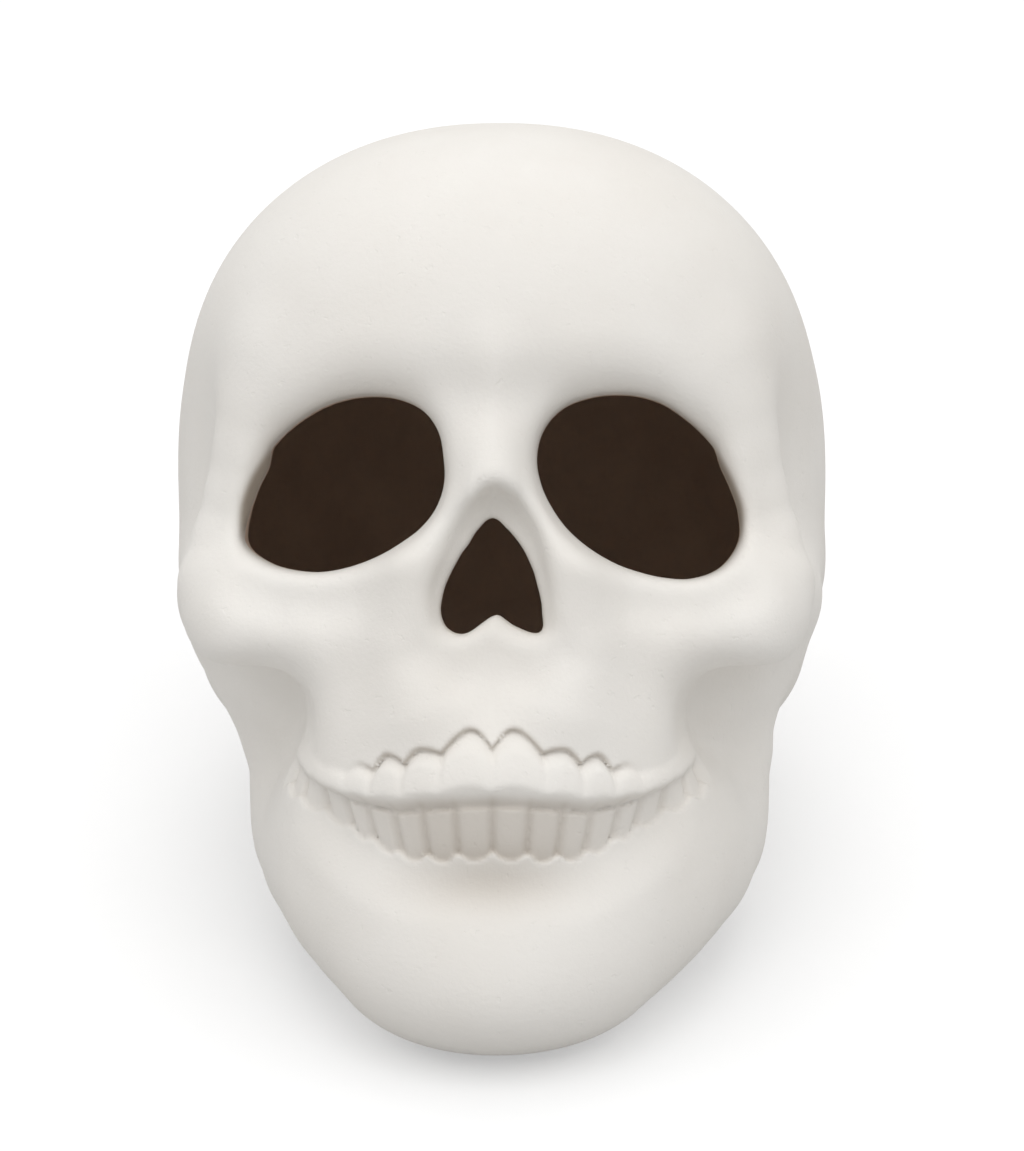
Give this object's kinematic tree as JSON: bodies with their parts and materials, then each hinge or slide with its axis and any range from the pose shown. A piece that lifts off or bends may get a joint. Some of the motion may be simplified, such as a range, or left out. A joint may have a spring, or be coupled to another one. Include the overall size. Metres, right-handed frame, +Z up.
{
  "type": "skull decoration",
  "caption": "Life-size human skull in unglazed white ceramic, cast hollow with open eye and nose holes, standing on chin and back of head on felt pads",
  "frame": {"origin": "Middle of the footprint on the surface that the felt pads stand on", "axes": "+X to the viewer's right, +Y from the face to the back of the head, +Z up; the skull is tipped back on its chin"},
  "size_m": [0.15, 0.2204, 0.1757],
  "materials": {
    "bisque": "unglazed matte",
    "felt": "felt"
  },
  "bodies": {
    "root": {"skull_shell": "bisque", "felt_pad_front_left": "felt", "felt_pad_front_right": "felt", "felt_pad_rear_left": "felt", "felt_pad_rear_right": "felt"}
  },
  "joints": []
}
